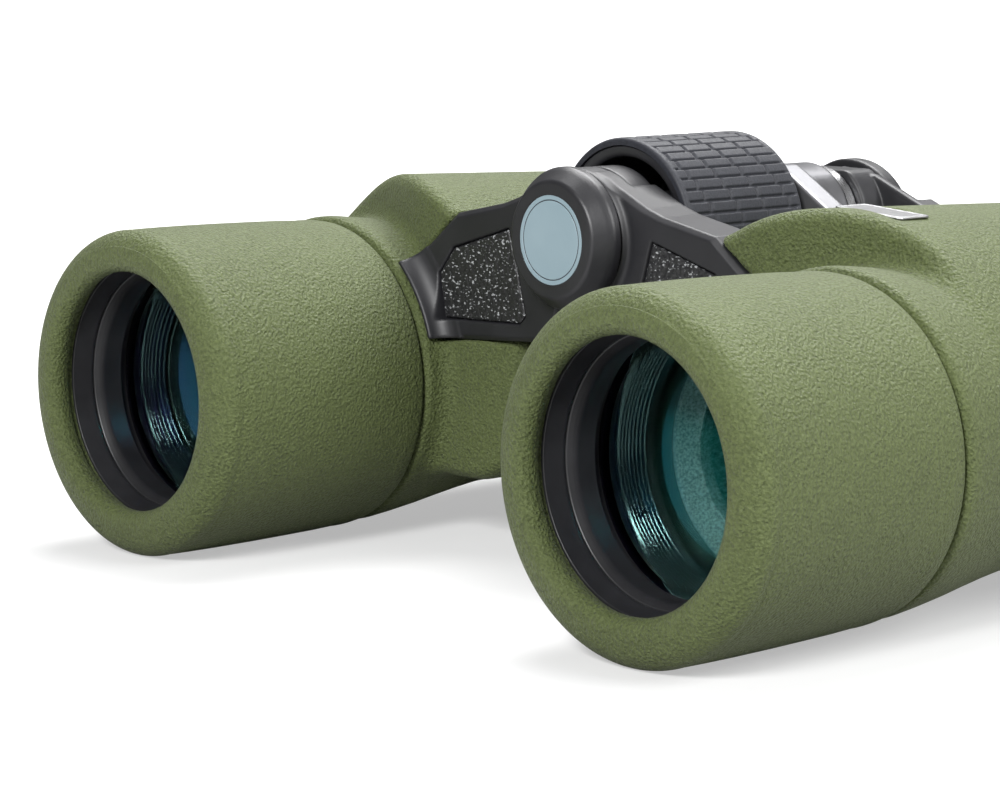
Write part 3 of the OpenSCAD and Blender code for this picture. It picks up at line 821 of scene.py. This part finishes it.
def cap_outline():
    return rounded([
        (0, 44.35), (8.1, 44.35), (8.1, 44.3, 0.05), (10.4, 44.3, 0.5), (12.35, 46.9, 0.6),
        (12.8, 47.8, 0.35), (12.8, 49.2, 0.3), (12.5, 49.5, 0.15), (5.2, 49.5, 0.2), (5.2, 46.5, 0.2),
        (0, 46.5),
    ])


def badge_outline():
    """Plain disc with one fine concentric groove near its rim."""
    return rounded([
        (0, 44.28), (6.9, 44.28, 0.05), (7.0, 44.36, 0.04), (7.15, 44.36, 0.04), (7.25, 44.28, 0.05),
        (7.95, 44.28, 0.08), (7.95, 44.8, 0.1), (0, 44.8)
    ])


def bridge():
    for side in (1, -1):
        body, prefix = BODY[side], SIDE_NAME[side]
        carve(f"{prefix}_front_arm_detail", front_arm_field(side), (-14, 46, 5), (54, 63, 44), 0.36,
              SATIN_BLACK, body, side, slot="satin_black", replaces=(f"{prefix}_front_arm",))
        carve(f"{prefix}_arm_pad_detail", pad_field, (13, 50, 10), (40, 52.5, 32), 0.22,
              LEATHER, body, side, slot="grained_inset", replaces=(f"{prefix}_arm_pad",))
        first, last = span(f"{prefix}_rear_arm")
        carve(f"{prefix}_rear_arm_detail", rear_arm_field(side), (-14, first - 1, 10),
              (31, last + 1, 43), 0.36, GREY_METAL, body, side, slot="satin_grey_metal",
              replaces=(f"{prefix}_rear_arm",))
    lathe("front_cap_detail", cap_outline(), HINGE, CAP_BLACK, "front_cap", segments=160,
          slot="satin_black", replaces=("front_cap",), sharp=40)
    lathe("cap_badge_detail", badge_outline(), HINGE, BADGE, "front_cap", segments=128,
          slot="badge_blue_grey", replaces=("cap_badge",), sharp=40)
    first, last = span("thrust_washer")
    washer = rounded([(7.0, first), (14.4, first, 0.3), (14.4, last, 0.3), (7.0, last)])
    lathe("thrust_washer_detail", washer, HINGE, BLACK_PLASTIC, "right_half",
          slot="black_plastic", replaces=("thrust_washer",), sharp=40)


# ---------------------------------------------------------------- focus wheel

WHEEL_REAR = span("wheel_grip")[1]
WHEEL_R = 17.3
ROWS = 48
BLOCKS = 4


def soft_step(value, edge, width):
    return 1 / (1 + np.exp(-np.clip((value - edge) / width, -40, 40)))


def grip_shape(radius, station, angle):
    """Rows of long blocks around the wheel, each row shifted a little against the last."""
    turn = angle / (2 * np.pi) * ROWS
    row = np.floor(turn)
    across = turn - row
    length = (WHEEL_REAR - WHEEL_FRONT - 2.4) / BLOCKS
    along = (station - WHEEL_FRONT - 1.2) / length + 0.13 * (row % 8)
    part = along - np.floor(along)
    ridge = soft_step(across, 0.10, 0.02) * soft_step(-across, -0.90, 0.02)
    block = soft_step(part, 0.045, 0.012) * soft_step(-part, -0.955, 0.012)
    border = soft_step(station, WHEEL_FRONT + 1.3, 0.08) * soft_step(-station, -WHEEL_REAR + 1.1, 0.08)
    outer = soft_step(radius, WHEEL_R - 0.62, 0.02)
    lean = 0.16 * (across - 0.5)
    return radius - outer * border * (0.5 * (1 - ridge * block) - lean * ridge * block + 0.02), station


def grip_outline():
    rows = [(WHEEL_R, s) for s in np.arange(WHEEL_FRONT + 1.15, WHEEL_REAR - 0.95, 0.17)]
    front = arc((WHEEL_R - 0.75, WHEEL_FRONT + 0.75), 0.75, -90, -8, 6)
    rear = arc((WHEEL_R - 0.6, WHEEL_REAR - 0.6), 0.6, 8, 90, 6)
    return [(15.95, WHEEL_REAR), (15.95, WHEEL_FRONT)] + front + rows + rear


def wheel_core_outline():
    """Tube under the grip with a rounded mouth, a web and a hub."""
    front, rear = WHEEL_FRONT + 0.4, WHEEL_REAR - 0.4
    return rounded([
        (15.85, front, 0.3), (15.85, rear, 0.3), (13.8, rear, 0.5), (13.8, 89, 0.8), (7.25, 89, 0.8),
        (7.25, 90.6, 0.3), (4.65, 90.6, 0.3), (4.65, front, 0.3), (7.2, front, 0.4), (7.2, 84, 0.8),
        (13.8, 84, 0.8), (13.8, front + 0.2, 0.9)
    ])


def focus_wheel():
    lathe("wheel_grip_detail", grip_outline(), HINGE, GRIP_RUBBER, "focus_wheel", segments=ROWS * 20,
          shape=grip_shape, slot="black_rubber", replaces=("wheel_grip",), sharp=50)
    lathe("focus_wheel_detail", wheel_core_outline(), HINGE, BLACK_PLASTIC, "focus_wheel", segments=128,
          slot="black_plastic", replaces=("focus_wheel",), sharp=40)


# ---------------------------------------------------------------- eyepieces

# the cover screws (x, h)
SCREWS = ((79, 22), (50, 34), (84, -12), (50, -15))
EYEPIECE_ARM = [(0, 9.4), (8.5, 8.2), (30, -1), (44, -8), (40, -27), (24, -26), (8, -9), (0, -8)]


def eyepiece_arm_field(side):
    node = f"{SIDE_NAME[side]}_eyepiece_arm"
    last = span(node)[1]
    plate_stations = (119.5, 121.5)
    back_stations = (121.8, last)
    thick_stations = (119.5, last) if side > 0 else back_stations

    def field(x, s, h):
        axis = np.hypot(x, h - HINGE_H)
        outline = polygon(x, h, EYEPIECE_ARM)
        thick = round_or(np.maximum(outline, 18.6 - axis), disc(x, h, EYEPIECE, 17.2), 1.5)
        thick = round_and(thick, slab(s, *thick_stations), 0.7)
        if side > 0:
            knuckle = round_and(axis - 11.3, h - HINGE_H - 9.2, 0.6)
            knuckle = round_and(knuckle, slab(s, 114.2, 121.5), 0.6)
            plate = round_and(outline, slab(s, *plate_stations), 0.6)
            arm = np.minimum(plate, np.minimum(thick, knuckle))
        else:
            back = round_or(outline, disc(x, h, (0, 26.2), 13.9), 0.8)
            arm = np.minimum(round_and(back, slab(s, *back_stations), 0.6), thick)
        arm = np.maximum(arm, 14.85 - np.hypot(x - EYEPIECE_X, h - EYEPIECE_H))
        return np.maximum(arm, 4.05 - axis)

    return field


def rear_cover_field():
    first = HOUSING_END + 0.1
    last = 118.4

    def field(x, s, h):
        rear = np.full(np.shape(s), HOUSING_END)
        profile = np.minimum(housing_outer(x, rear, h), lobe_field(x, 80.0, h)) + 0.25
        cover = round_and(profile, slab(s, first, last), 0.9)
        # shallow recessed field inside a raised rim
        inner = np.maximum(profile + 3.0, 117.8 - s)
        cover = round_and(cover, -inner, 0.5)
        from_axis = np.hypot(x - EYEPIECE_X, h - EYEPIECE_H)
        boss = np.maximum(from_axis - 15.2, slab(s, first, 118.2))
        cover = round_or(cover, boss, 0.6)
        guide = np.maximum(from_axis - 12.35, slab(s, 117, 128.4))
        cover = round_or(cover, guide, 0.5)
        cover = np.maximum(cover, 10.8 - from_axis)
        for px, ph in SCREWS:
            reach = np.hypot(x - px, h - ph)
            pad = round_and(reach - 3.0, slab(s, first, last), 0.3)
            cover = np.minimum(cover, pad)
            cover = np.maximum(cover, 1.1 - reach)
        return cover

    return field


def eyecup_outline():
    """Soft cup: finger grooves around its skirt, a rolled rim, and an inward lip."""
    skirt = []
    for k in range(5):
        s = 131.2 + 2.4 * k
        skirt += [(18.28, s), (18.28, s + 1.5), (17.85, s + 1.8), (17.85, s + 2.1)]
    return rounded([(15.95, 129.1, 0.2), (17.7, 129.1, 0.3), (18.28, 129.8, 0.4)]) + skirt + rounded([
        (18.28, 144.5, 0.3), (18.1, 146.2, 0.8), (17.4, 149.2, 1.0), (16.1, 149.95, 0.8),
        (12.7, 149.95, 0.7), (11.7, 148.8, 0.5), (12.5, 146.3, 0.4), (15.95, 146.3, 0.3)
    ])


def knurled(count, depth, first, last, inner):
    def shape(radius, station, angle):
        band = soft_step(station, first, 0.08) * soft_step(-station, -last, 0.08)
        band = band * soft_step(radius, inner, 0.05)
        wave = 0.5 + 0.5 * np.cos(angle * count)
        return radius - depth * band * wave**3, station

    return shape


def ring_outline(inner, outer, first, last, fillet, rows):
    """Rectangular ring with rounded outer corners and rows of loops along its outside."""
    one_corner = 7  # an arc of five points and the support point at each end
    bore_corners = [(inner, last, 0.15), (inner, first, 0.15)]
    front = rounded(bore_corners + [(outer, first, fillet)])
    between = [(outer, s) for s in np.linspace(first + fillet * 1.4, last - fillet * 1.4, rows)]
    rear_corner = rounded([(outer, last, fillet)] + bore_corners)[:one_corner]
    return front + between + rear_corner


def eyepiece(side):
    prefix = SIDE_NAME[side]
    carriage = f"{prefix}_carriage"
    ocular = "right_ocular" if side < 0 else "left_carriage"

    def turned(node, outline, material, slot, body, **extra):
        lathe(f"{node}_detail", outline, EYEPIECE, material, body, side, slot=slot, replaces=(node,),
              sharp=40, **extra)

    carve(f"{prefix}_eyepiece_arm_detail", eyepiece_arm_field(side), (-15, 113, -6),
          (51.5, 126.5, 42), 0.42, SATIN_BLACK, carriage, side, slot="satin_black",
          replaces=(f"{prefix}_eyepiece_arm",))
    carve(f"{prefix}_rear_cover_detail", rear_cover_field(), (14, 114, -27),
          (92.5, 129.5, 39.5), 0.5, BLACK_PLASTIC, BODY[side], side, slot="black_plastic",
          replaces=(f"{prefix}_rear_cover",))
    turned(f"{prefix}_eyepiece_tube", rounded([
        (12.45, 119.45, 0.2), (14.8, 119.45, 0.3), (14.8, 126.0),
        (14.8, 138.95, 0.4), (12.45, 138.95, 0.2),
    ]), DARK_METAL, "black_metal", carriage)
    turned(f"{prefix}_ocular_barrel", rounded([
        (10.4, 130.85), (12.3, 130.85, 0.2), (12.3, 141.35, 0.4), (9.9, 141.35, 0.3), (9.3, 140.75, 0.2),
        (8.65, 140.65, 0.1), (9.3, 140.5, 0.1), (9.3, 136.6, 0.1), (10.4, 135.6, 0.1)
    ]), DARK_METAL, "black_metal", ocular)
    lens = lens_outline(9.2, front=136.7, rear=140.5, front_bow=32, rear_bow=32)
    turned(f"{prefix}_eye_lens", lens, EYE_LENS, "coated_glass", ocular)
    turned(f"{prefix}_eyecup", eyecup_outline(), CUP_RUBBER, "black_rubber", f"{prefix}_cup")
    if side < 0:
        turned("dioptre_ring", ring_outline(14.95, 17.6, 125.75, 128.65, 0.35, 12), BLACK_PLASTIC,
               "black_plastic", "dioptre_ring", segments=432,
               shape=knurled(72, 0.35, 126.3, 128.1, 17.0))


# ---------------------------------------------------------------- parts kept from the CAD frame


def finish_frame_nodes():
    """Materials for the nodes that keep their CAD shape."""
    kept = {
        "prism_housing": CAST_METAL, "prism_shelf": CAST_METAL,
        "front_prism": PRISM, "rear_prism": PRISM, "field_lens": EYE_LENS,
        "prism_clips": STEEL, "cover_screws": STEEL, "eyecup_sleeve": BLACK_PLASTIC,
    }
    single = {"hinge_pin": STEEL, "rear_hinge_sleeve": STEEL, "focus_spindle": STEEL}
    for name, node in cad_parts.items():
        material = single.get(name) or kept.get(name.split("_", 1)[1])
        node.data.materials.clear()
        node.data.materials.append(material or BLACK_PLASTIC)


# ---------------------------------------------------------------- studio


def studio_floor():
    """Floor that sweeps up into a backdrop all round; the camera sees it nearly white."""
    s = Surface("floor_paper", 0.9, specular=0.1)
    s.colour(s.blend(s.spread(s.noise(400, 2), 0.3, 0.7), (0.40, 0.40, 0.40), (0.44, 0.44, 0.44)))
    reach = s.nodes.new("ShaderNodeVectorMath")
    reach.operation = "LENGTH"
    s.links.new(s.place, reach.inputs[0])
    seen = s.nodes.new("ShaderNodeLightPath").outputs["Is Camera Ray"]
    glow = s.product(s.spread(reach.outputs["Value"], 0.1, 1.2, 0.45, 0.95), seen)
    s.shader.inputs["Emission Color"].default_value = (1, 1, 1, 1)
    s.links.new(glow, s.shader.inputs["Emission Strength"])
    flat, sweep, top, segments = 2.2, 0.9, 2.6, 96
    profile = [(0.0, 0.0), (flat, 0.0)] + [
        (flat + sweep * math.sin(t), sweep - sweep * math.cos(t))
        for t in np.linspace(0.1, math.pi / 2, 12)
    ] + [(flat + sweep, top)]
    points, faces = [(0, 0, 0)], []
    for radius, height in profile[1:]:
        points += [(radius * math.cos(t), radius * math.sin(t), height)
                   for t in np.linspace(0, 2 * math.pi, segments, endpoint=False)]
    for i in range(segments):
        j = (i + 1) % segments
        faces.append((0, 1 + i, 1 + j))
        for k in range(len(profile) - 2):
            a, b = 1 + k * segments, 1 + (k + 1) * segments
            faces.append((a + i, b + i, b + j, a + j))
    mesh = bpy.data.meshes.new("floor")
    mesh.from_pydata(points, [], faces)
    mesh.polygons.foreach_set("use_smooth", np.ones(len(faces), bool))
    mesh.materials.append(s.material)
    floor = bpy.data.objects.new("floor", mesh)
    bpy.context.scene.collection.objects.link(floor)


def soft_light(name, azimuth, elevation, distance, size, watts):
    """Area light aimed at the object, azimuth measured from -Y towards +X, as the camera's."""
    lamp = bpy.data.lights.new(name, "AREA")
    lamp.shape = "RECTANGLE"
    lamp.size, lamp.size_y = size, size
    lamp.energy = watts
    a, e = math.radians(azimuth), math.radians(elevation)
    away = Vector((math.sin(a) * math.cos(e), -math.cos(a) * math.cos(e), math.sin(e)))
    light = bpy.data.objects.new(name, lamp)
    light.location = Vector((0, 0, 0.03)) + away * distance
    light.rotation_euler = away.to_track_quat("Z", "Y").to_euler()
    bpy.context.scene.collection.objects.link(light)


def lighting():
    world = bpy.data.worlds.new("studio")
    bpy.context.scene.world = world
    world.use_nodes = True
    background = world.node_tree.nodes["Background"]
    background.inputs["Color"].default_value = (1, 1, 1, 1)
    background.inputs["Strength"].default_value = 0.14
    soft_light("key_top", 215, 64, 1.6, 1.1, 48)
    soft_light("key_right", 108, 34, 1.1, 0.5, 10)
    soft_light("key_front", 26, 30, 1.3, 0.34, 19)


# the camera's place in half coordinates
VIEWPOINT = (432.90, -358.51, 84.36)


def camera():
    """Camera at the measured viewing angle, on the left half's side and looking slightly down."""
    yaw, pitch, roll = (math.radians(v) for v in (47.928, 8.026, -0.088))
    focal_px, width_px, sensor_mm = 3367.1, 1000, 36
    back = Vector((math.sin(yaw) * math.cos(pitch), -math.cos(yaw) * math.cos(pitch), math.sin(pitch)))
    right = Vector((math.cos(yaw), math.sin(yaw), 0))
    up = back.cross(right)
    across = math.cos(roll) * right + math.sin(roll) * up
    upward = -math.sin(roll) * right + math.cos(roll) * up
    data = bpy.data.cameras.new("photo_view")
    data.lens = focal_px / width_px * sensor_mm
    data.sensor_width = sensor_mm
    data.clip_start = 0.01
    view = bpy.data.objects.new("photo_view", data)
    place = to_row([VIEWPOINT])[0]
    turn = Matrix((across, upward, back)).transposed().to_4x4()
    view.matrix_world = Matrix.Translation(Vector(place)) @ turn
    bpy.context.scene.collection.objects.link(view)
    bpy.context.scene.camera = view
    bpy.context.scene.view_settings.view_transform = "Standard"


for half_side in (1, -1):
    objective_end(half_side)
    housing(half_side)
    eyepiece(half_side)
bridge()
focus_wheel()
finish_frame_nodes()
studio_floor()
lighting()
camera()

bpy.context.view_layer.update()
